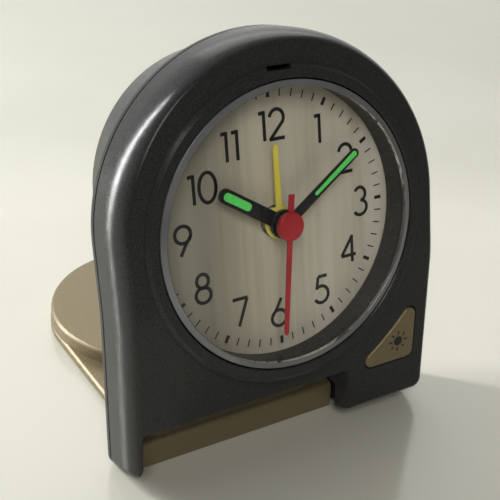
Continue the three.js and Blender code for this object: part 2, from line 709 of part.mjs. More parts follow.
const pin = (x0, x1) => crossRod(hinge.y, hinge.z, PIN_RADIUS, x0, x1, 12);
addPart(clock, 'hinge_pin_left', pin(
  NOTCH.left - PIN_BEDDING + CLEARANCE,
  BARREL.left + PIN_BEDDING,
), materials.steel);
addPart(clock, 'hinge_pin_right', pin(
  BARREL.right - PIN_BEDDING,
  NOTCH.knuckleRight + PIN_BEDDING - CLEARANCE,
), materials.steel);

// Stand cover: a flat plate with a raised round boss, hollow underneath, that lies on the table.
// World frame: it reaches back along +Y from the hinge barrel.

function coverOutline() {
  const { halfWidth, centre, neck, neckRight } = COVER;
  const corner = 3;
  const shape = new THREE.Shape();
  shape.moveTo(-halfWidth, 0);
  shape.lineTo(neckRight, 0);
  shape.absarc(neckRight + corner, neck - corner, corner, Math.PI, 0.5 * Math.PI, true);
  shape.absarc(halfWidth - corner, neck + corner, corner, 1.5 * Math.PI, 2 * Math.PI, false);
  shape.absarc(0, centre, halfWidth, 0, Math.PI, false);
  return shape;
}

// Cross-section of the hinge barrel, x along world Y and y along world Z: a square with rounded corners
function barrelShape() {
  const { half, corner } = BARREL;
  const reach = half - corner;
  const shape = new THREE.Shape();
  shape.absarc(reach, HINGE_HEIGHT + reach, corner, 0, Math.PI / 2, false);
  shape.absarc(-reach, HINGE_HEIGHT + reach, corner, Math.PI / 2, Math.PI, false);
  shape.absarc(-reach, HINGE_HEIGHT - reach, corner, Math.PI, 1.5 * Math.PI, false);
  shape.absarc(reach, HINGE_HEIGHT - reach, corner, 1.5 * Math.PI, 2 * Math.PI, false);
  return shape;
}

function standCover() {
  const { halfWidth, thickness, centre, bossHeight, wall } = COVER;
  const top = thickness + bossHeight;
  const slab = plate(coverOutline(), 0, thickness, 11);
  const barrel = plate(barrelShape(), BARREL.left, BARREL.right, 3).rotateX(Math.PI / 2).rotateZ(Math.PI / 2);
  const boss = turned([
    [0, 0.5], [halfWidth - 0.1, 0.5], [halfWidth - 0.1, top - 0.8], [halfWidth - 0.9, top], [0, top],
  ], 44, 0, centre);
  const hollow = turned([
    [0, -1], [halfWidth - wall, -1], [halfWidth - wall, top - wall], [0, top - wall],
  ], 32, 0, centre);
  const catchLug = block([-2.2, centre + halfWidth - 1, 0.4], [2.2, centre + halfWidth + 1.2, 1.8]);
  const bores = [
    crossRod(0, HINGE_HEIGHT, PIN_HOLE_RADIUS, BARREL.left - 1, BARREL.left + PIN_BEDDING + 0.4, 12),
    crossRod(0, HINGE_HEIGHT, PIN_HOLE_RADIUS, BARREL.right - PIN_BEDDING - 0.4, BARREL.right + 1, 12),
  ];
  return cut(join(slab, barrel, boss, catchLug), hollow, ...bores);
}

addPart(root, 'stand_cover', toGeometry(standCover()).translate(0, HINGE_SETBACK, 0), materials.champagne);

export default root;
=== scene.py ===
import json
import math

import bmesh
import bpy
from mathutils import Euler, Matrix, Vector


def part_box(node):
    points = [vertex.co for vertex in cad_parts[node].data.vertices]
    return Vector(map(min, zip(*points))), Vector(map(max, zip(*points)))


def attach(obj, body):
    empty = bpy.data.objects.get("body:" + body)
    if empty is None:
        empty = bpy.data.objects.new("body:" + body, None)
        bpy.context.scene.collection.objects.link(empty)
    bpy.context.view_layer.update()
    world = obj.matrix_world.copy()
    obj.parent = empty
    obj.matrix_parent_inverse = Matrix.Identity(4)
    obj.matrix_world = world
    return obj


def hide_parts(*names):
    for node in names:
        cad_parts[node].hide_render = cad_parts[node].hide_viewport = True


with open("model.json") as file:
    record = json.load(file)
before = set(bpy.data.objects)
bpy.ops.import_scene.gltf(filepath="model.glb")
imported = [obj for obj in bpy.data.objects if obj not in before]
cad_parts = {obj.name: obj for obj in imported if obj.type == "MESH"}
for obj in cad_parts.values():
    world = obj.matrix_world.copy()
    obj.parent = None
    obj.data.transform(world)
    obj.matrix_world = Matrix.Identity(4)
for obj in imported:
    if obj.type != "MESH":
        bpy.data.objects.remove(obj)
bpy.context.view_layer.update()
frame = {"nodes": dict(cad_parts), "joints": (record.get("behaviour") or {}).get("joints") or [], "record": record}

# Shapes are made in millimetres in two frames. The clock frame has x towards 3 o'clock, y towards
# 12 o'clock and z out of the dial, from the centre of the dial's front. The cover frame lies on the
# table under the hinge axis, with y pointing back along the cover and z up.
MM = 0.001
JOINTS = {joint["name"]: joint for joint in frame["joints"]}


def clock_frame():
    """The matrix that takes clock-frame millimetres to the row frame in metres."""
    x_axis = Vector((1, 0, 0))
    z_axis = -Vector(JOINTS["minutes_spin"]["axis"]).normalized()
    y_axis = z_axis.cross(x_axis)
    arbor = Vector(JOINTS["minutes_spin"]["pos_m"])
    front = max((v.co - arbor).dot(z_axis) for v in frame["nodes"]["dial"].data.vertices)
    origin = arbor + z_axis * front
    matrix = Matrix((x_axis, y_axis, z_axis)).transposed().to_4x4() @ Matrix.Scale(MM, 4)
    matrix.translation = origin
    return matrix


CLOCK = clock_frame()
HINGE = Vector(JOINTS["cover_hinge"]["pos_m"])
COVER = Matrix.Translation((0, HINGE.y, 0)) @ Matrix.Scale(MM, 4)


def extent(node, space=CLOCK):
    """The lowest and highest corners of a CAD node in the clock or cover frame, in millimetres."""
    inverse = space.inverted()
    points = [inverse @ v.co for v in frame["nodes"][node].data.vertices]
    low = Vector([min(p[i] for p in points) for i in range(3)])
    high = Vector([max(p[i] for p in points) for i in range(3)])
    return low, high


FRONT_LOW, FRONT_HIGH = extent("front_shell")
LENS_LOW, LENS_HIGH = extent("lens")
COVER_LOW, COVER_HIGH = extent("stand_cover", COVER)

# Case: the outline, the face, the edge and the feet
MARGIN = 0.05
CASE_RADIUS = FRONT_HIGH.x - MARGIN
CASE_CENTRE_Y = FRONT_HIGH.y - FRONT_HIGH.x
CASE_BOTTOM = FRONT_LOW.y + MARGIN
RING_TOP = FRONT_HIGH.z - 0.25
FACE_Z = 6.2
SEAM_Z = -4.7
SEAM_GAP = 0.22
EDGE_DEPTH = 7.0
EDGE_INSET = 2.4
CASE_WALL = 2.0
FOOT_CORNER = 2.8
TAPER_Z = -6.1
TAPER_INSET = 5.0
BEND_Y = -12.75
BEND_SLOPE = 0.14
BEND_REACH = 3.0

# The gap between the feet
NOTCH_LEFT = -33.7
NOTCH_RIGHT = 14.2
NOTCH_TOP = -36.1
KNUCKLE_RIGHT = 16.2
KNUCKLE_FRONT = 1.9
NOTCH_ROUNDING = 1.5
FLARE_LEFT = 2.7
FLARE_RIGHT = 1.5

# The ring round the lens, with the slot for the cover's catch
WINDOW_RADIUS = LENS_HIGH.x + 0.3
RING_BASE = 31.6
RING_STEP = 0.25
RING_FOOT = 31.3
RING_EDGE = 30.7
RING_UNDERSIDE = 1.2
CATCH_SLOT_LOW = Vector((-3.8, 30.65, FACE_Z - 3.2))
CATCH_SLOT_HIGH = Vector((1.4, 31.55, RING_TOP + 0.5))

# Back shell and its drum
BACK_PLATE_Z = -13.6
DRUM_Y = 5.0
DRUM_BACK = -25.0
DRUM_RADIUS = 28.0
DRUM_FRONT_RADIUS = 30.4
DRUM_FRONT_Z = -10.0
DRUM_WALL = 2.0
KNOB_SHAFT_RADIUS = 1.1
KNOB_RECESS_RADIUS = 5.4
KNOB_RECESS_DEPTH = 0.5
SOUND_HOLES = 6
SOUND_HOLE_RADIUS = 0.8
SOUND_HOLE_CIRCLE = 3.2
DOORWAY_GAP = 0.3
SCREW_GAP = 0.25
SCREW_SHANK = 0.55

# Snooze and light button
BUTTON_CORNER = 1.8
BUTTON_TOP = Vector((29.7, -26.4))
BUTTON_LEFT = Vector((20.5, -34.9))
BUTTON_RIGHT = Vector((29.7, -34.9))
BUTTON_ARC = 60.0
BUTTON_GAP = 0.3
BUTTON_FRONT = FACE_Z + 0.4
BUTTON_HEIGHT = 3.0
BUTTON_EDGE = 0.55

# Hinge of the stand cover
HINGE_IN_CLOCK = CLOCK.inverted() @ HINGE
PIN_RADIUS = 1.0
PIN_BEDDING = 1.8

# Lens and the printing on the dial
LENS_RIM_WIDTH = 1.3
LENS_DOME = 0.9
LENS_THICKNESS = 0.8
PRINT_Z = 0.02
PRINT_THICKNESS = 0.02
TICK_RADIUS = 25.5

# Stand cover
COVER_HALF = COVER_HIGH.x
COVER_NECK = 16.0
COVER_NECK_RIGHT = 13.7
COVER_CENTRE = 47.8
COVER_THICKNESS = 2.4
COVER_BOSS_HEIGHT = 3.2
COVER_WALL = 1.8
TABLE_GAP = 0.02
BARREL_LEFT = COVER_LOW.x
BARREL_RIGHT = 15.9
BARREL_HALF = HINGE.z / MM


# Mesh helpers

def make_object(name, points, faces):
    mesh = bpy.data.meshes.new(name)
    mesh.from_pydata([tuple(p) for p in points], [], faces)
    shaped = bmesh.new()
    shaped.from_mesh(mesh)
    bmesh.ops.recalc_face_normals(shaped, faces=shaped.faces)
    shaped.to_mesh(mesh)
    shaped.free()
    obj = bpy.data.objects.new(name, mesh)
    bpy.context.scene.collection.objects.link(obj)
    return obj


def arc(centre, radius, start, end, steps):
    """Points on an arc between two angles in degrees."""
    angles = [math.radians(start + (end - start) * i / steps) for i in range(steps + 1)]
    return [(centre[0] + radius * math.cos(a), centre[1] + radius * math.sin(a)) for a in angles]


def loft(name, rows):
    """A closed body through loops of points that all have the same length, with flat ends."""
    count = len(rows[0])
    points = [p for row in rows for p in row]
    faces = [list(range(count)), list(range(len(points) - count, len(points)))]
    for level in range(len(rows) - 1):
        for i in range(count):
            j = (i + 1) % count
            base = level * count
            faces.append([base + i, base + j, base + count + j, base + count + i])
    return make_object(name, points, faces)


def prism(name, outline, z0, z1):
    return loft(name, [[(x, y, z) for x, y in outline] for z in (z0, z1)])


def lathe(name, profile, segments=128, x=0.0, y=0.0):
    """A body turned about z from a closed profile of (radius, z) points."""
    points = []
    rings = []
    for radius, z in profile:
        if radius == 0:
            rings.append([len(points)] * segments)
            points.append((x, y, z))
            continue
        rings.append([len(points) + i for i in range(segments)])
        for i in range(segments):
            angle = 2 * math.pi * i / segments
            points.append((x + radius * math.cos(angle), y + radius * math.sin(angle), z))
    on_axis = profile[0][0] == 0 and profile[-1][0] == 0
    pairs = list(zip(rings, rings[1:]))
    if not on_axis:
        pairs.append((rings[-1], rings[0]))
    faces = []
    for lower, upper in pairs:
        for i in range(segments):
            j = (i + 1) % segments
            face = list(dict.fromkeys([lower[i], lower[j], upper[j], upper[i]]))
            if len(face) > 2:
                faces.append(face)
    return make_object(name, points, faces)


def box(name, low, high):
    outline = [(low[0], low[1]), (high[0], low[1]), (high[0], high[1]), (low[0], high[1])]
    return prism(name, outline, low[2], high[2])


def rod(name, x, y, radius, z0, z1, segments=32):
    return lathe(name, [(0, z0), (radius, z0), (radius, z1), (0, z1)], segments, x, y)


def filleted(corners, steps=4):
    """A profile with rounded corners: each corner is (radius, z) or (radius, z, fillet)."""
    points = []
    for i, corner in enumerate(corners):
        here = Vector(corner[:2])
        if len(corner) == 2:
            points.append(tuple(here))
            continue
        before = (Vector(corners[i - 1][:2]) - here).normalized()
        after = (Vector(corners[(i + 1) % len(corners)][:2]) - here).normalized()
        half = before.angle(after) / 2
        reach = corner[2] / math.tan(half)
        centre = here + (before + after).normalized() * corner[2] / math.sin(half)
        start = here + before * reach - centre
        end = here + after * reach - centre
        for step in range(steps + 1):
            direction = start.lerp(end, step / steps).normalized() * corner[2]
            points.append(tuple(centre + direction))
    return points


def apply_modifiers(obj):
    depsgraph = bpy.context.evaluated_depsgraph_get()
    mesh = bpy.data.meshes.new_from_object(obj.evaluated_get(depsgraph))
    obj.modifiers.clear()
    obj.data = mesh


def combine(obj, tools, operation):
    """Joins the tools to obj, or cuts them from it, one after another, and removes them."""
    for tool in tools:
        modifier = obj.modifiers.new("combine", "BOOLEAN")
        modifier.object = tool
        modifier.operation = operation
        modifier.solver = "EXACT"
        apply_modifiers(obj)
        bpy.data.objects.remove(tool)


def clean(obj):
    shaped = bmesh.new()
    shaped.from_mesh(obj.data)
    bmesh.ops.remove_doubles(shaped, verts=shaped.verts, dist=0.003)
    bmesh.ops.dissolve_degenerate(shaped, dist=0.003, edges=shaped.edges)
    shaped.to_mesh(obj.data)
    shaped.free()


def soften(obj, width, segments=2, angle=32):
    """Rounds every edge that is sharper than the angle, in degrees."""
    clean(obj)
    bevel = obj.modifiers.new("soften", "BEVEL")
    bevel.width = width
    bevel.segments = segments
    bevel.limit_method = "ANGLE"
    bevel.angle_limit = math.radians(angle)
    bevel.use_clamp_overlap = True
    bevel.harden_normals = False
    apply_modifiers(obj)


def shade(obj, angle=35):
    """Smooth shading that keeps flat faces flat."""
    for polygon in obj.data.polygons:
        polygon.use_smooth = True
    obj.data.set_sharp_from_angle(angle=math.radians(angle))
    weighted = obj.modifiers.new("weighted", "WEIGHTED_NORMAL")
    weighted.keep_sharp = True
    weighted.weight = 100
    apply_modifiers(obj)


def place(obj, space, body, material_slot, replaced=()):
    """Takes a shape from its own millimetres to the row frame, and gives it a body and a finish."""
    obj.data.transform(space)
    obj.data.update()
    obj.data.materials.clear()
    obj.data.materials.append(MATERIALS[material_slot])
    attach(obj, body)
    if replaced:
        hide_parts(*replaced)
    return obj


# Materials

def srgb(red, green, blue):
    def linear(value):
        value /= 255
        return value / 12.92 if value <= 0.04045 else ((value + 0.055) / 1.055) ** 2.4
    return (linear(red), linear(green), linear(blue), 1)


class Finish:
    """A principled material with a few procedural layers."""

    def __init__(self, name, roughness, metallic=0.0, **sockets):
        self.material = bpy.data.materials.new(name)
        self.material.use_nodes = True
        self.tree = self.material.node_tree
        self.shader = self.tree.nodes["Principled BSDF"]
        self.shader.inputs["Roughness"].default_value = roughness
        self.shader.inputs["Metallic"].default_value = metallic
        for socket, value in sockets.items():
            self.shader.inputs[socket.replace("_", " ")].default_value = value
        self.coordinates = self.node("TexCoord").outputs["Object"]

    def node(self, kind, **settings):
        node = self.tree.nodes.new("ShaderNode" + kind)
        for key, value in settings.items():
            setattr(node, key, value)
        return node

    def link(self, output, target):
        self.tree.links.new(output, target)

    def noise(self, scale, detail=2.0, stretch=(1, 1, 1), rough=0.5):
        """A noise value from 0 to 1 whose size is given in noise cells per metre."""
        mapping = self.node("Mapping")
        mapping.inputs["Scale"].default_value = stretch
        texture = self.node("TexNoise")
        texture.inputs["Scale"].default_value = scale
        texture.inputs["Detail"].default_value = detail
        texture.inputs["Roughness"].default_value = rough
        self.link(self.coordinates, mapping.inputs["Vector"])
        self.link(mapping.outputs["Vector"], texture.inputs["Vector"])
        return texture.outputs["Fac"]

    def ramp(self, value, stops):
        """Colours along a value: stops are (position, colour)."""
        ramp = self.node("ValToRGB")
        elements = ramp.color_ramp.elements
        while len(elements) < len(stops):
            elements.new(0.5)
        for element, (position, color) in zip(elements, stops):
            element.position = position
            element.color = color
        self.link(value, ramp.inputs["Fac"])
        return ramp.outputs["Color"]

    def span(self, value, low, high, start=0.3, end=0.7):
        """The value remapped from start..end to low..high."""
        remap = self.node("MapRange")
        remap.inputs["From Min"].default_value = start
        remap.inputs["From Max"].default_value = end
        remap.inputs["To Min"].default_value = low
        remap.inputs["To Max"].default_value = high
        self.link(value, remap.inputs["Value"])
        return remap.outputs["Result"]

    def color(self, output):
        self.link(output, self.shader.inputs["Base Color"])

    def roughness(self, output):
        self.link(output, self.shader.inputs["Roughness"])

    def bump(self, value, depth):
        """Surface relief of the given depth in metres."""
        bump = self.node("Bump")
        bump.inputs["Strength"].default_value = 1.0
        bump.inputs["Distance"].default_value = depth
        self.link(value, bump.inputs["Height"])
        self.link(bump.outputs["Normal"], self.shader.inputs["Normal"])


def fleck_paint(name, dark, middle, light, roughness, metallic, specular):
    """Satin moulded plastic filled with fine metallic flake."""
    finish = Finish(name, roughness, metallic, Specular_IOR_Level=specular)
    flake = finish.noise(5200, detail=1.0)
    finish.color(finish.ramp(flake, [(0.3, dark), (0.5, middle), (0.68, light)]))
    finish.roughness(finish.span(finish.noise(900), roughness - 0.04, roughness + 0.05))
    finish.bump(flake, 0.000008)
    return finish.material


def moulded(name, dark, light, roughness, grain=2600, depth=0.00001):
    """Plain moulded plastic with a faint grain."""
    finish = Finish(name, roughness)
    cloud = finish.noise(180, detail=3.0)
    finish.color(finish.ramp(cloud, [(0.3, dark), (0.7, light)]))
    finish.roughness(finish.span(finish.noise(grain), roughness - 0.05, roughness + 0.07))
    finish.bump(finish.noise(grain), depth)
    return finish.material


def metal(name, dark, light, roughness, stretch=(1, 1, 1), scale=3000):
    """Bright metal with fine drawn or brushed lines."""
    finish = Finish(name, roughness, 1.0)
    lines = finish.noise(scale, detail=2.0, stretch=stretch)
    finish.color(finish.ramp(lines, [(0.3, dark), (0.7, light)]))
    finish.roughness(finish.span(lines, roughness - 0.06, roughness + 0.1))
    finish.bump(lines, 0.000006)
    return finish.material


def dial_finish():
    """Pale gold plate with vertical pearly streaks, and painted shade that darkens it towards its left edge."""
    finish = Finish("dial_gold", 0.42, 0.1)
    wide = finish.noise(130, detail=3.0, stretch=(1, 0.09, 0.09))
    fine = finish.noise(900, detail=2.0, stretch=(1, 0.03, 0.03))
    mix = finish.node("Math", operation="ADD")
    scaled = finish.node("Math", operation="MULTIPLY")
    scaled.inputs[1].default_value = 0.25
    finish.link(fine, scaled.inputs[0])
    finish.link(wide, mix.inputs[0])
    finish.link(scaled.outputs[0], mix.inputs[1])
    streaks = finish.ramp(mix.outputs[0], [
        (0.42, srgb(196, 188, 168)),
        (0.62, srgb(216, 209, 192)),
        (0.82, srgb(230, 224, 208)),
    ])
    # Painted shade: the streak colour is multiplied darker towards low x, so the left of the dial looks less lit.
    split = finish.node("SeparateXYZ")
    finish.link(finish.coordinates, split.inputs["Vector"])
    low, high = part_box("dial")
    across = finish.span(split.outputs["X"], 0, 1, low.x, high.x)
    painted_shade = finish.ramp(across, [
        (0.0, srgb(168, 170, 164)),
        (0.25, srgb(188, 189, 184)),
        (0.42, srgb(248, 247, 244)),
        (1.0, srgb(255, 255, 255)),
    ])
    shaded_streaks = finish.node("Mix", data_type="RGBA", blend_type="MULTIPLY")
    shaded_streaks.inputs["Factor"].default_value = 1.0
    finish.link(streaks, shaded_streaks.inputs["A"])
    finish.link(painted_shade, shaded_streaks.inputs["B"])
    finish.color(shaded_streaks.outputs["Result"])
    finish.roughness(finish.span(wide, 0.36, 0.5))
    return finish.material


def lens_finish():
    """Clear plastic: what it doesn't reflect passes straight through."""
    finish = Finish("clear_lens", 0.03, 1.0)
    fresnel = finish.node("Fresnel")
    fresnel.inputs["IOR"].default_value = 1.2
    finish.link(fresnel.outputs["Fac"], finish.shader.inputs["Alpha"])
    haze = finish.noise(300)
    finish.color(finish.ramp(haze, [(0.3, (0.93, 0.95, 0.97, 1)), (0.7, (1, 1, 1, 1))]))
    return finish.material


def rim_finish():
    """The edge of the lens: an opaque grey of painted reflection, in place of what thick clear plastic bends and
    carries.
    """
    finish = Finish("lens_rim", 0.12, 0.3)
    # Painted reflection: the grey band stands in for the dark wall seen through the clear rim and the glare on it.
    band = finish.noise(60, detail=2.0)
    finish.color(finish.ramp(band, [(0.3, srgb(112, 112, 115)), (0.7, srgb(132, 132, 134))]))
    finish.roughness(finish.span(finish.noise(400), 0.08, 0.16))
    return finish.material


def lume_finish():
    """Green luminous paint, with a painted glow: a weak emission of its own colour that brightens it."""
    finish = Finish("lume_green", 0.6)
    grains = finish.noise(3600)
    paint = finish.ramp(grains, [(0.3, srgb(76, 206, 84)), (0.7, srgb(112, 232, 120))])
    finish.color(paint)
    # Painted glow: the paint colour is also emitted, so the lume looks brighter than the light on it makes it.
    finish.link(paint, finish.shader.inputs["Emission Color"])
    finish.shader.inputs["Emission Strength"].default_value = 0.12
    finish.bump(grains, 0.00003)
    return finish.material


def board_finish():
    finish = Finish("board_green", 0.35)
    tracks = finish.noise(700, detail=0.0)
    finish.color(finish.ramp(tracks, [
        (0.48, srgb(26, 66, 38)),
        (0.5, srgb(44, 98, 58)),
        (0.62, srgb(44, 98, 58)),
        (0.64, srgb(24, 62, 36)),
    ]))
    finish.bump(tracks, 0.00002)
    return finish.material


def winding_finish():
    """Enamelled copper wire wound round the x axis."""
    finish = Finish("copper_wire", 0.3, 0.9)
    wave = finish.node("TexWave", bands_direction="X")
    wave.inputs["Scale"].default_value = 700
    wave.inputs["Distortion"].default_value = 0.4
    finish.link(finish.coordinates, wave.inputs["Vector"])
    finish.color(finish.ramp(wave.outputs["Fac"], [(0.1, srgb(92, 44, 22)), (0.7, srgb(196, 112, 62))]))
    finish.bump(wave.outputs["Fac"], 0.00005)
    return finish.material


def battery_finish():
    """A printed sleeve: dark green with a copper-coloured band at the plus end."""
    finish = Finish("battery_wrap", 0.28, 0.5)
    split = finish.node("SeparateXYZ")
    finish.link(finish.coordinates, split.inputs["Vector"])
    low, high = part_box("battery")
    band = finish.span(split.outputs["X"], 0, 1, low.x, high.x)
    finish.color(finish.ramp(band, [
        (0.0, srgb(200, 202, 204)),
        (0.04, srgb(184, 120, 60)),
        (0.24, srgb(184, 120, 60)),
        (0.26, srgb(36, 74, 54)),
        (0.98, srgb(36, 74, 54)),
    ]))
    finish.bump(finish.noise(1200), 0.00001)
    return finish.material


def make_materials():
    return {
        "case_grey": fleck_paint(
            "case_grey", srgb(39, 39, 39), srgb(46, 46, 46), srgb(60, 61, 60), 0.2, 0.04, 0.2),
        "champagne": fleck_paint(
            "champagne", srgb(112, 99, 72), srgb(124, 111, 83), srgb(140, 127, 98), 0.42, 0.35, 0.5),
        "dial_gold": dial_finish(),
        "wall_grey": moulded("wall_grey", srgb(18, 18, 20), srgb(26, 26, 28), 0.3, 2600, 0.000002),
        "clear_lens": lens_finish(),
        "lens_rim": rim_finish(),
        "hand_black": moulded("hand_black", srgb(14, 14, 17), srgb(26, 26, 30), 0.35),
        "lume_green": lume_finish(),
        "hand_yellow": moulded("hand_yellow", srgb(240, 224, 80), srgb(252, 238, 104), 0.45),
        "hand_red": moulded("hand_red", srgb(168, 26, 40), srgb(194, 36, 50), 0.32),
        "movement_ivory": moulded("movement_ivory", srgb(214, 208, 192), srgb(234, 229, 216), 0.5),
        "steel": metal("steel", srgb(150, 152, 154), srgb(206, 208, 210), 0.28, (1, 1, 0.1)),
        "brass": metal("brass", srgb(158, 124, 52), srgb(214, 180, 96), 0.3),
        "copper_wire": winding_finish(),
        "board_green": board_finish(),
        "battery_wrap": battery_finish(),
        "knob_black": moulded("knob_black", srgb(24, 24, 25), srgb(38, 38, 40), 0.45, 1800, 0.00002),
    }


MATERIALS = make_materials()


def dress_cad_nodes():
    """Every CAD node gets the procedural finish of its slot."""
    for part in frame["record"]["subparts"]:
        node = frame["nodes"][part["node"]]
        node.data.materials.clear()
        node.data.materials.append(MATERIALS[part["material_slot"]])


# Case shells

def bend(obj):
    """The lower part of the case leans back: a smooth kink at BEND_Y, then a constant slope."""
    shaped = bmesh.new()
    shaped.from_mesh(obj.data)
    for step in range(-2, 3):
        geometry = list(shaped.verts) + list(shaped.edges) + list(shaped.faces)
        y = BEND_Y + step * BEND_REACH / 2
        bmesh.ops.bisect_plane(shaped, geom=geometry, plane_co=(0, y, 0), plane_no=(0, 1, 0), dist=1e-4)
    for vertex in shaped.verts:
        vertex.co.z -= BEND_SLOPE * bend_depth(vertex.co.y)
    shaped.to_mesh(obj.data)
    shaped.free()


def bend_depth(y):
    below = BEND_Y - y
    if below > BEND_REACH:
        return below
    if below < -BEND_REACH:
        return 0.0
    return (below + BEND_REACH) ** 2 / (4 * BEND_REACH)


def arch_row(inset, z, bottom=CASE_BOTTOM, corner=None, arch_steps=72, corner_steps=8):
    """One loop round the arch, inset from the case's outline."""
    half = CASE_RADIUS - inset
    base = bottom + inset
    if corner is None:
        corner = max(FOOT_CORNER - 0.5 * inset, 0.8)
    outline = arc((0, CASE_CENTRE_Y), half, 0, 180, arch_steps)
    outline += arc((-half + corner, base + corner), corner, 180, 270, corner_steps)
    outline += arc((half - corner, base + corner), corner, 270, 360, corner_steps)
    return [(x, y, z) for x, y in outline]


def edged_rows(back, front, depth, edge_inset, steps, inset=0.0, **outline):
    """Rows of an arch whose front edge is a quarter ellipse."""
    rows = [arch_row(inset, back, **outline)]
    for step in range(steps + 1):
        angle = math.pi / 2 * step / steps
        rows.append(arch_row(
            inset + edge_inset * (1 - math.cos(angle)),
            front - depth * (1 - math.sin(angle)),
            **outline,
        ))
    return rows


def edge_step(step, steps):
    """A point on the front edge's quarter ellipse: its height and how far it is inset."""
    angle = math.pi / 2 * step / steps
    return FACE_Z - EDGE_DEPTH * (1 - math.sin(angle)), EDGE_INSET * (1 - math.cos(angle))


def notch_row(z, grow, inset=0.0, right=NOTCH_RIGHT):
    """One loop round the gap between the feet, whose lower ends flare out round the feet."""
    low = CASE_BOTTOM - 10
    foot = CASE_BOTTOM + inset
    fillet = 0.5 + grow
    left = NOTCH_LEFT - grow
    right = right + grow
    top = NOTCH_TOP + grow * 0.5
    outline = [(left - FLARE_LEFT, low)]
    outline += arc((left - FLARE_LEFT, foot + FLARE_LEFT), FLARE_LEFT, -90, 0, 8)
    outline += arc((left + fillet, top - fillet), fillet, 180, 90, 6)
    outline += arc((right - fillet, top - fillet), fillet, 90, 0, 6)
    outline += arc((right + FLARE_RIGHT, foot + FLARE_RIGHT), FLARE_RIGHT, 180, 270, 8)
    outline += [(right + FLARE_RIGHT, low)]
    return [(x, y, z) for x, y in outline]


def notch_cutters():
    """The gap itself, opening out at the face, and the wider space behind it for the hinge barrel."""
    steps = 12
    rows = [notch_row(-40, 0)]
    for step in range(steps + 1):
        z, inset = edge_step(step, steps)
        above = max(0.0, z - (FACE_Z - NOTCH_ROUNDING)) / NOTCH_ROUNDING
        rows.append(notch_row(z, NOTCH_ROUNDING * (1 - math.sqrt(max(0.0, 1 - above ** 2))), inset))
    rows.append(notch_row(20, NOTCH_ROUNDING, EDGE_INSET))
    knuckle = loft("knuckle_space", [notch_row(z, 0, 0, KNUCKLE_RIGHT) for z in (-40, KNUCKLE_FRONT)])
    return [loft("notch", rows), knuckle]


def button_outline(grow):
    """Three-cornered outline with round corners, whose long side is slightly hollow."""
    radius = BUTTON_CORNER + grow
    chord = BUTTON_TOP - BUTTON_LEFT
    outward = Vector((-chord.y, chord.x)).normalized()
    centre = (BUTTON_TOP + BUTTON_LEFT) / 2 + outward * math.sqrt(BUTTON_ARC ** 2 - (chord.length / 2) ** 2)
    to_top = BUTTON_TOP - centre
    to_left = BUTTON_LEFT - centre
    top_angle = math.degrees(math.atan2(to_top.y, to_top.x))
    left_angle = math.degrees(math.atan2(to_left.y, to_left.x))
    outline = arc(BUTTON_TOP, radius, 0, 180 + top_angle, 10)
    outline += arc(centre, BUTTON_ARC - radius, top_angle, left_angle, 16)[1:-1]
    outline += arc(BUTTON_LEFT, radius, 180 + left_angle, 270, 10)
    outline += arc(BUTTON_RIGHT, radius, 270, 360, 10)
    return outline


def cross_rod(name, y, z, radius, x0, x1, segments=32):
    """A round rod along x."""
    piece = rod(name, 0, 0, radius, x0, x1, segments)
    piece.data.transform(Matrix.Translation((0, y, z)) @ Matrix.Rotation(math.pi / 2, 4, "Y"))
    return piece


def pin_holes():
    y, z = HINGE_IN_CLOCK.y, HINGE_IN_CLOCK.z
    return [
        cross_rod("pin_hole", y, z, PIN_RADIUS, NOTCH_LEFT - PIN_BEDDING, NOTCH_LEFT + 1),
        cross_rod("pin_hole", y, z, PIN_RADIUS, KNUCKLE_RIGHT - 1, KNUCKLE_RIGHT + PIN_BEDDING),
    ]


def screw_holes(surface, names):
    """Counterbored holes round the CAD screws, up from behind the given surface height."""
    behind = surface - 9
    holes = []
    for name in names:
        low, high = extent(name)
        x, y = (low.x + high.x) / 2, (low.y + high.y) / 2
        head = (high.x - low.x) / 2
        holes.append(rod("screw_hole", x, y, head + SCREW_GAP, behind, low.z + 1.0, 40))
        holes.append(rod("screw_hole", x, y, head * SCREW_SHANK, behind, high.z + 0.3, 24))
    return holes


def front_shell():
    """The hollow moulding with its bent lower part, the ring, and the openings."""
    shell = loft("front_shell_moulding", edged_rows(
        SEAM_Z + SEAM_GAP, FACE_Z, EDGE_DEPTH, EDGE_INSET, 14))
    combine(shell, notch_cutters() + [
        prism("button_hole", button_outline(BUTTON_GAP), -20, 20),
        loft("hollow", edged_rows(
            -20, FACE_Z - CASE_WALL, EDGE_DEPTH - CASE_WALL, EDGE_INSET, 5, inset=CASE_WALL,
            bottom=NOTCH_TOP, corner=1.0, arch_steps=48, corner_steps=3)),
    ], "DIFFERENCE")
    bend(shell)
    ring = lathe("bezel", filleted([
        (WINDOW_RADIUS - 1, RING_UNDERSIDE),
        (RING_BASE, RING_UNDERSIDE),
        (RING_BASE, FACE_Z + RING_STEP, 0.12),
        (RING_FOOT, FACE_Z + RING_STEP),
        (RING_EDGE, RING_TOP, 0.16),
        (WINDOW_RADIUS - 1, RING_TOP),
    ]), 160)
    combine(shell, [ring], "UNION")
    combine(shell, [
        lathe("window", filleted([
            (0, -5), (WINDOW_RADIUS, -5), (WINDOW_RADIUS, RING_TOP - 0.2),
            (WINDOW_RADIUS + 0.5, RING_TOP + 0.3), (0, RING_TOP + 0.3),
        ]), 160),
        box("catch_slot", CATCH_SLOT_LOW, CATCH_SLOT_HIGH),
    ] + pin_holes(), "DIFFERENCE")
    soften(shell, 0.18)
    shade(shell)
    return place(shell, CLOCK, "case", "case_grey", ["front_shell"])


def back_rows():
    """From the seam back: a straight wall, then a straight taper to the flat back."""
    profile = filleted([
        (0, SEAM_Z - SEAM_GAP),
        (0, TAPER_Z, 0.5),
        (TAPER_INSET, BACK_PLATE_Z, 1.5),
        (TAPER_INSET + 4, BACK_PLATE_Z),
    ])
    return [arch_row(inset, z) for inset, z in profile]


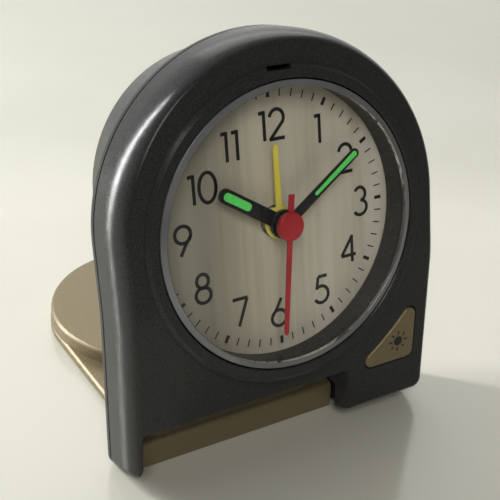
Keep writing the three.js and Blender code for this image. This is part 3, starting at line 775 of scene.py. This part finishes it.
def drum_profile(shrink=0.0):
    return filleted([
        (0, DRUM_BACK + shrink),
        (DRUM_RADIUS - shrink, DRUM_BACK + shrink, 0.8),
        (DRUM_FRONT_RADIUS - shrink, DRUM_FRONT_Z + shrink / 2),
        (0, DRUM_FRONT_Z + shrink / 2),
    ])


def middle(node):
    """The centre of a CAD node in the clock frame."""
    low, high = extent(node)
    return (low + high) / 2


def back_shell():
    shell = loft("back_shell_moulding", back_rows())
    """The tapered moulding with the drum, and the holes for all that shows at the back."""
    gap = Vector((DOORWAY_GAP, DOORWAY_GAP, 0))
    door_low, door_high = extent("battery_door")
    inside = BACK_PLATE_Z + CASE_WALL
    door_low = door_low - gap
    door_high = door_high + gap
    combine(shell, notch_cutters() + [
        loft("hollow", [
            arch_row(
                CASE_WALL + inset, z, bottom=NOTCH_TOP - inset, corner=1.0, arch_steps=48, corner_steps=3)
            for inset, z in ((0, 5), (0, TAPER_Z), (TAPER_INSET, inside))
        ]),
        box("doorway", (door_low.x, door_low.y, -40), (door_high.x, door_high.y, inside + 1)),
    ], "DIFFERENCE")
    bend(shell)
    combine(shell, [lathe("drum", drum_profile(), 144, 0, DRUM_Y)], "UNION")
    switch = middle("alarm_switch")
    buzzer = middle("buzzer")
    cutters = [lathe("drum_hollow", drum_profile(DRUM_WALL), 96, 0, DRUM_Y)]
    behind = DRUM_BACK - 5
    through = DRUM_BACK + 5
    recess = DRUM_BACK + KNOB_RECESS_DEPTH
    for knob in (middle("time_knob"), middle("alarm_knob")):
        cutters.append(rod("knob_hole", knob.x, knob.y, KNOB_SHAFT_RADIUS, behind, through, 32))
        cutters.append(rod("knob_recess", knob.x, knob.y, KNOB_RECESS_RADIUS, behind, recess, 64))
    for i in range(SOUND_HOLES):
        angle = 2 * math.pi * i / SOUND_HOLES
        x = buzzer.x + SOUND_HOLE_CIRCLE * math.cos(angle)
        y = buzzer.y + SOUND_HOLE_CIRCLE * math.sin(angle)
        cutters.append(rod("sound_hole", x, y, SOUND_HOLE_RADIUS, behind, through, 24))
    cutters.append(box(
        "switch_slot", (switch.x - 2.2, switch.y - 1.5, behind), (switch.x + 6.2, switch.y + 1.5, through)))
    cutters += screw_holes(DRUM_BACK, ("case_screw_1", "case_screw_2", "case_screw_3", "case_screw_4"))
    combine(shell, cutters + pin_holes(), "DIFFERENCE")
    soften(shell, 0.2)
    shade(shell)
    return place(shell, CLOCK, "case", "case_grey", ["back_shell"])


# Dial, lens and the wall between them

def dial_plate():
    low, high = extent("dial")
    hole = 3.2
    plate = lathe("dial_plate", [(hole, low.z), (high.x, low.z), (high.x, 0), (hole, 0)], 160)
    soften(plate, 0.08, 1)
    shade(plate)
    return place(plate, CLOCK, "case", "dial_gold", ["dial"])


def chapter_ring():
    low, high = extent("chapter_ring")
    ring = lathe("chapter_ring_wall", filleted([
        (27.7, low.z), (high.x, low.z), (high.x, low.z + 0.3), (LENS_HIGH.x, low.z + 0.5),
        (LENS_HIGH.x, high.z), (28.2, high.z, 0.12),
    ], 3), 192)
    shade(ring)
    return place(ring, CLOCK, "case", "wall_grey", ["chapter_ring"])


def lens():
    """A thin domed window, and the bevelled rim round it, whose opaque grey is painted reflection."""
    rim = LENS_HIGH.x
    edge = LENS_HIGH.z - LENS_DOME
    flat = rim - LENS_RIM_WIDTH
    steps = 14
    outer = []
    inner = []
    for i in range(steps + 1):
        radius = flat * i / steps
        dome = 1 - (radius / flat) ** 2
        height = edge + LENS_DOME * dome
        outer.append((radius, height))
        inner.append((radius, height - LENS_THICKNESS))
    glass = lathe("lens_clear", outer + inner[::-1], 192)
    shade(glass, 50)
    place(glass, CLOCK, "case", "clear_lens", ["lens"])
    ring = lathe("lens_rim", filleted([
        (flat, edge - 0.9, 0.1),
        (flat, edge, 0.12),
        (rim, edge - 0.35, 0.12),
        (rim, LENS_LOW.z, 0.1),
    ]), 192)
    shade(ring, 50)
    place(ring, CLOCK, "case", "clear_lens")
    # The rim takes the lens_rim finish: opaque grey painted reflection in place of clear plastic.
    ring.data.materials[0] = MATERIALS["lens_rim"]


def flat_marks(name, outlines, z, thickness):
    """Thin printed or inlaid marks: many flat outlines in one object."""
    points = []
    faces = []
    for outline in outlines:
        count = len(outline)
        base = len(points)
        points += [(x, y, z) for x, y in outline] + [(x, y, z + thickness) for x, y in outline]
        faces.append([base + i for i in reversed(range(count))])
        faces.append([base + count + i for i in range(count)])
        for i in range(count):
            j = (i + 1) % count
            faces.append([base + i, base + j, base + count + j, base + count + i])
    return make_object(name, points, faces)


def minute_track():
    marks = []
    for minute in range(60):
        angle = math.radians(6 * minute)
        hour = minute % 5 == 0
        half_width = 0.36 if hour else 0.13
        reach = 0.82
        outward = Vector((math.sin(angle), math.cos(angle)))
        across = Vector((outward.y, -outward.x)) * half_width
        inner = outward * (TICK_RADIUS - reach)
        outer = outward * (TICK_RADIUS + reach)
        marks.append([tuple(p) for p in (inner - across, inner + across, outer + across, outer - across)])
    track = flat_marks("minute_track", marks, PRINT_Z, PRINT_THICKNESS)
    return place(track, CLOCK, "case", "hand_black")


def ribbon(path, width):
    """The outline of a stroke of constant width along a path."""
    left = []
    right = []
    for i, point in enumerate(path):
        here = Vector(point)
        before = Vector(path[max(i - 1, 0)])
        after = Vector(path[min(i + 1, len(path) - 1)])
        along = (after - before).normalized()
        across = Vector((-along.y, along.x)) * width / 2
        left.append(tuple(here + across))
        right.append(tuple(here - across))
    return left + right[::-1]


def ellipse(centre, rx, ry, start, end, steps=20):
    angles = [math.radians(start + (end - start) * i / steps) for i in range(steps + 1)]
    return [(centre[0] + rx * math.cos(a), centre[1] + ry * math.sin(a)) for a in angles]


# Each digit is a few strokes in a box 1 high, with its width; y is 0 at the base line
DIGITS = {
    "0": (0.62, [ellipse((0.31, 0.5), 0.31, 0.5, 90, 450, 40)]),
    "1": (0.2, [[(0.2, 0), (0.2, 1)], [(0.0, 0.93), (0.2, 0.95)]]),
    "2": (0.58, [
        ellipse((0.29, 0.71), 0.27, 0.29, 170, -30, 20) + [(0.0, 0.0)],
        [(-0.02, 0.02), (0.58, 0.02)],
    ]),
    "3": (0.56, [
        ellipse((0.27, 0.75), 0.23, 0.25, 150, -80, 20),
        ellipse((0.27, 0.27), 0.28, 0.27, 85, -150, 22),
    ]),
    "4": (0.62, [[(0.46, 0), (0.46, 1)], [(0.48, 0.98), (0.0, 0.27)], [(0.0, 0.27), (0.62, 0.27)]]),
    "5": (0.56, [
        [(0.52, 0.98), (0.14, 0.98)],
        [(0.15, 0.98), (0.07, 0.52)],
        ellipse((0.25, 0.31), 0.3, 0.31, 125, -150, 24),
    ]),
    "6": (0.6, [
        ellipse((0.3, 0.29), 0.29, 0.29, 0, 360, 36),
        [(0.42, 1.0), (0.24, 0.68), (0.09, 0.47), (0.02, 0.36)],
    ]),
    "7": (0.58, [[(0.0, 0.98), (0.58, 0.98)], [(0.57, 0.98), (0.2, 0.0)]]),
    "8": (0.56, [
        ellipse((0.28, 0.76), 0.22, 0.24, 0, 360, 32),
        ellipse((0.28, 0.27), 0.28, 0.27, 0, 360, 36),
    ]),
    "9": (0.6, [
        ellipse((0.3, 0.71), 0.29, 0.29, 0, 360, 36),
        [(0.18, 0.0), (0.36, 0.32), (0.51, 0.53), (0.58, 0.64)],
    ]),
}

NUMERAL_HEIGHT = 5.9
STROKE = 0.72
DIGIT_GAP = 0.2
NUMERALS = {
    "12": (0.5, 19.2), "1": (11.0, 16.8), "2": (17.6, 9.7), "3": (21.0, 0.0), "4": (17.6, -9.8),
    "5": (10.4, -17.0), "6": (-0.3, -19.4), "7": (-9.2, -17.2), "8": (-17.2, -10.3),
    "9": (-20.6, 0.1), "10": (-15.7, 9.5), "11": (-9.2, 16.5),
}


def numerals():
    outlines = []
    for text, (x, y) in NUMERALS.items():
        widths = [DIGITS[digit][0] for digit in text]
        total = sum(widths) + DIGIT_GAP * (len(text) - 1)
        left = x - total * NUMERAL_HEIGHT / 2
        base = y - NUMERAL_HEIGHT / 2
        for digit, width in zip(text, widths):
            for stroke in DIGITS[digit][1]:
                path = [(left + u * NUMERAL_HEIGHT, base + v * NUMERAL_HEIGHT) for u, v in stroke]
                outlines.append(ribbon(path, STROKE))
            left += (width + DIGIT_GAP) * NUMERAL_HEIGHT
    print_layer = flat_marks("dial_numerals", outlines, PRINT_Z, PRINT_THICKNESS)
    return place(print_layer, CLOCK, "case", "hand_black")


# Hands

def joint_angle(node):
    """The direction of a hand, in degrees clockwise from 12 o'clock, from the far end of its CAD node."""
    inverse = CLOCK.inverted()
    points = [(inverse @ v.co).xy for v in frame["nodes"][node].data.vertices]
    reach = max(point.length for point in points)
    tip = Vector((0, 0))
    for point in points:
        if point.length > reach - 0.02:
            tip += point
    return math.degrees(math.atan2(tip.x, tip.y))


def turned(obj, degrees):
    obj.data.transform(Matrix.Rotation(-math.radians(degrees), 4, "Z"))
    return obj


def bar_outline(start, end, width_start, width_end, round_steps=10):
    """A bar along y whose far end is rounded."""
    radius = width_end / 2
    outline = [(width_start / 2, start)]
    outline += arc((0, end - radius), radius, 0, 180, round_steps)
    outline += [(-width_start / 2, start)]
    return outline


def hand(name, arm, hub, hub_height, z, thickness=0.4):
    """A flat arm joined to a taller round hub."""
    piece = prism(name, arm, z, z + thickness)
    disc = lathe("hub", filleted([(0, z), (hub, z), (hub, z + hub_height, 0.15), (0, z + hub_height)]), 64)
    combine(piece, [disc], "UNION")
    return piece


def finish_hand(piece, degrees, body, slot_name, replaced, width=0.1):
    soften(piece, width)
    shade(piece)
    turned(piece, degrees)
    return place(piece, CLOCK, body, slot_name, replaced)


def hands():
    """The four hands, from the dial outwards, each turned to where its CAD node points."""
    alarm_z = extent("alarm_hand")[0].z
    alarm = hand("alarm_hand_blade", bar_outline(0, 15.8, 1.3, 1.05, 2), 3.3, 0.45, alarm_z)
    combine(alarm, [rod("bore", 0, 0, 2.7, 0, 5, 64)], "DIFFERENCE")
    finish_hand(alarm, joint_angle("alarm_hand"), "alarm", "hand_yellow", ["alarm_hand"])

    hour_z = extent("hour_hand")[0].z
    hour_angle = joint_angle("hour_hand")
    hour = hand("hour_hand_blade", bar_outline(0, 16.3, 3.0, 3.0, 16), 2.95, 0.9, hour_z)
    combine(hour, [prism("lume_slot", lume_outline(8.4, 15.2, 1.7, 1.7), hour_z + 0.22, 10)], "DIFFERENCE")
    finish_hand(hour, hour_angle, "hours", "hand_black", ["hour_hand"])
    hour_lume = prism(
        "hour_hand_lume_paint", lume_outline(8.42, 15.18, 1.66, 1.66), hour_z + 0.23, hour_z + 0.46)
    finish_hand(hour_lume, hour_angle, "hours", "lume_green", ["hour_hand_lume"], 0.07)

    minute_z = extent("minute_hand")[0].z
    minute_angle = joint_angle("minute_hand")
    minute = hand("minute_hand_blade", bar_outline(0, 21.4, 2.1, 1.9, 12), 2.5, 0.75, minute_z)
    minute_slot = prism("lume_slot", lume_outline(8.5, 20.9, 0.8, 1.2), minute_z + 0.22, 10)
    combine(minute, [minute_slot], "DIFFERENCE")
    finish_hand(minute, minute_angle, "minutes", "hand_black", ["minute_hand"])
    minute_lume = prism(
        "minute_hand_lume_paint", lume_outline(8.52, 20.88, 0.76, 1.16), minute_z + 0.23, minute_z + 0.46)
    finish_hand(minute_lume, minute_angle, "minutes", "lume_green", ["minute_hand_lume"], 0.07)

    low, high = extent("second_hand")
    second_z = low.z + 0.3
    needle = bar_outline(-6.4, 22.4, 1.25, 0.95, 2)
    second = prism("second_hand_blade", needle, second_z, second_z + 0.35)
    cap = lathe("cap", filleted([
        (0, low.z), (2.9, low.z, 0.15), (2.9, high.z - 0.25, 0.3), (2.2, high.z - 0.02), (0, high.z),
    ]), 64)
    combine(second, [cap], "UNION")
    finish_hand(second, joint_angle("second_hand"), "seconds", "hand_red", ["second_hand"], 0.08)


def lume_outline(start, end, width_start, width_end):
    low = width_start / 2
    high = width_end / 2
    return arc((0, end - high), high, 0, 180, 10) + arc((0, start + low), low, 180, 360, 10)


# Snooze and light button

def snooze_button():
    """The cap, whose front edge is a quarter round."""
    steps = 6
    rows = [[(x, y, BUTTON_FRONT - BUTTON_HEIGHT) for x, y in button_outline(0)]]
    for step in range(steps + 1):
        angle = math.pi / 2 * step / steps
        inset = BUTTON_EDGE * (1 - math.cos(angle))
        z = BUTTON_FRONT - BUTTON_EDGE * (1 - math.sin(angle))
        rows.append([(x, y, z) for x, y in button_outline(-inset)])
    cap = loft("snooze_button_cap", rows)
    bend(cap)
    shade(cap)
    return place(cap, CLOCK, "snooze", "champagne", ["snooze_button"])


def button_symbol():
    """A small sun, in place of lettering: the button lights the dial."""
    centre = Vector((27.0, -31.9))
    outlines = [arc(centre, 1.1, 0, 345, 23)]
    for i in range(8):
        angle = math.pi / 4 * i
        out = Vector((math.cos(angle), math.sin(angle)))
        outlines.append(ribbon([centre + out * 1.6, centre + out * 2.4], 0.4))
    symbol = flat_marks("button_symbol", outlines, FACE_Z + 0.41, 0.03)
    bend(symbol)
    return place(symbol, CLOCK, "snooze", "hand_black")


# Stand cover

def cover_outline(inset=0.0):
    """The flat plate: a tongue between the feet, straight sides and a round far end."""
    half = COVER_HALF - inset
    corner = 3.0
    neck = COVER_NECK
    outline = [(-half, inset), (COVER_NECK_RIGHT - inset, inset)]
    outline += arc((COVER_NECK_RIGHT + corner, neck - corner), corner + inset, 180, 90, 8)
    outline += arc((half + inset - corner, neck + corner), corner - inset, 270, 360, 8)
    outline += arc((0, COVER_CENTRE), half, 0, 180, 72)
    return outline


def stand_cover():
    """The plate with its boss, the hinge barrel and the catch at the far end."""
    top = COVER_THICKNESS + COVER_BOSS_HEIGHT
    edge = 0.45
    rows = []
    for z, inset in ((TABLE_GAP, edge), (edge, 0), (COVER_THICKNESS - edge, 0), (COVER_THICKNESS, edge)):
        rows.append([(x, y, z) for x, y in cover_outline(inset)])
    slab = loft("stand_cover_moulding", rows)
    half = BARREL_HALF
    section = arc((half - 1.2, 2 * half - 1.2), 1.2, 0, 90, 6)
    section += arc((-half + 1.2, 2 * half - 1.2), 1.2, 90, 180, 6)
    section += arc((-half + 0.7, 0.7 + TABLE_GAP), 0.7, 180, 270, 6)
    section += arc((half - 0.7, 0.7 + TABLE_GAP), 0.7, 270, 360, 6)
    barrel = loft("barrel", [
        [(x, y * scale, half + (z - half) * scale) for y, z in section]
        for x, scale in (
            (BARREL_LEFT, 0.86), (BARREL_LEFT + 0.4, 1), (BARREL_RIGHT - 0.4, 1), (BARREL_RIGHT, 0.86))
    ])
    boss_radius = COVER_HALF - 0.1
    boss = lathe("boss", filleted([
        (0, 0.6), (boss_radius, 0.6), (boss_radius - 0.15, top, 0.9), (0, top),
    ], 6), 192, 0, COVER_CENTRE)
    combine(slab, [barrel, boss], "UNION")
    hollow_radius = boss_radius - COVER_WALL
    ceiling = top - COVER_WALL
    hollow = lathe("hollow", filleted([
        (0, -1), (hollow_radius, -1), (hollow_radius, ceiling, 0.5), (0, ceiling),
    ]), 96, 0, COVER_CENTRE)
    bore = PIN_BEDDING + 0.4
    bores = [
        cross_rod("bore", 0, half, PIN_RADIUS, BARREL_LEFT - 1, BARREL_LEFT + bore),
        cross_rod("bore", 0, half, PIN_RADIUS, BARREL_RIGHT - bore, BARREL_RIGHT + 1),
    ]
    combine(slab, [hollow] + bores, "DIFFERENCE")
    far = COVER_CENTRE + COVER_HALF
    combine(slab, [box("catch", (-2.2, far - 1, 0.4), (2.2, far + 1.2, 1.8))], "UNION")
    soften(slab, 0.15)
    shade(slab)
    return place(slab, COVER, "cover", "champagne", ["stand_cover"])


# Camera, floor and light

def camera():
    """The viewpoint: front left, looking down, on a long lens."""
    data = bpy.data.cameras.new("camera")
    data.sensor_width = 36
    data.lens = 76.07
    data.clip_start = 0.01
    view = bpy.data.objects.new("camera", data)
    view.location = (-0.10495, -0.16881, 0.14137)
    view.rotation_euler = Euler((math.radians(62.125), math.radians(-2.444), math.radians(-31.086)))
    bpy.context.scene.collection.objects.link(view)
    bpy.context.scene.camera = view


def floor():
    """A pale glossy table top."""
    size = 1.6
    points = [(-size, -size, 0), (size, -size, 0), (size, size, 0), (-size, size, 0)]
    table = make_object("floor", points, [[0, 1, 2, 3]])
    finish = Finish("table_top", 0.16)
    cloud = finish.noise(6, detail=3.0)
    finish.color(finish.ramp(cloud, [(0.3, srgb(198, 196, 183)), (0.7, srgb(208, 206, 194))]))
    finish.roughness(finish.span(finish.noise(40), 0.12, 0.2))
    table.data.materials.append(finish.material)


def area_light(name, position, target, size, power, color):
    data = bpy.data.lights.new(name, "AREA")
    data.shape = "RECTANGLE"
    data.size, data.size_y = size
    data.energy = power
    data.color = color
    light = bpy.data.objects.new(name, data)
    light.location = position
    aim = Vector(target) - Vector(position)
    light.rotation_euler = aim.to_track_quat("-Z", "Y").to_euler()
    bpy.context.scene.collection.objects.link(light)


def room():
    """A pale room, brighter behind the clock than in front of it."""
    world = bpy.data.worlds.new("room")
    world.use_nodes = True
    tree = world.node_tree
    background = tree.nodes["Background"]
    background.inputs["Color"].default_value = (0.92, 0.93, 0.9, 1)
    direction = tree.nodes.new("ShaderNodeTexCoord")
    towards = tree.nodes.new("ShaderNodeVectorMath")
    towards.operation = "DOT_PRODUCT"
    towards.inputs[1].default_value = (0.15, 0.95, 0.2)
    spread = tree.nodes.new("ShaderNodeMapRange")
    spread.inputs["From Min"].default_value = 0.0
    spread.inputs["From Max"].default_value = 0.9
    spread.inputs["To Min"].default_value = 0.09
    spread.inputs["To Max"].default_value = 0.85
    tree.links.new(direction.outputs["Generated"], towards.inputs[0])
    tree.links.new(towards.outputs["Value"], spread.inputs["Value"])
    tree.links.new(spread.outputs["Result"], background.inputs["Strength"])
    bpy.context.scene.world = world


def lights():
    centre = (0, 0, 0.04)
    area_light("window_left", (-0.60, 0.66, 0.42), centre, (0.05, 0.9), 15.0, (0.98, 1.0, 1.0))
    area_light("window_back", (0.55, 0.9, 0.8), centre, (1.0, 0.7), 3.0, (1.0, 0.98, 0.94))
    area_light("front_fill", (-0.5, -0.9, 0.9), centre, (0.6, 0.6), 6.6, (1.0, 0.98, 0.94))
    room()


def colour_view():
    """Colours are shown as they are, without the paler film look that is the default."""
    bpy.context.scene.view_settings.view_transform = "Standard"


camera()
dress_cad_nodes()
front_shell()
back_shell()
dial_plate()
chapter_ring()
lens()
minute_track()
numerals()
hands()
snooze_button()
button_symbol()
stand_cover()
floor()
lights()
colour_view()
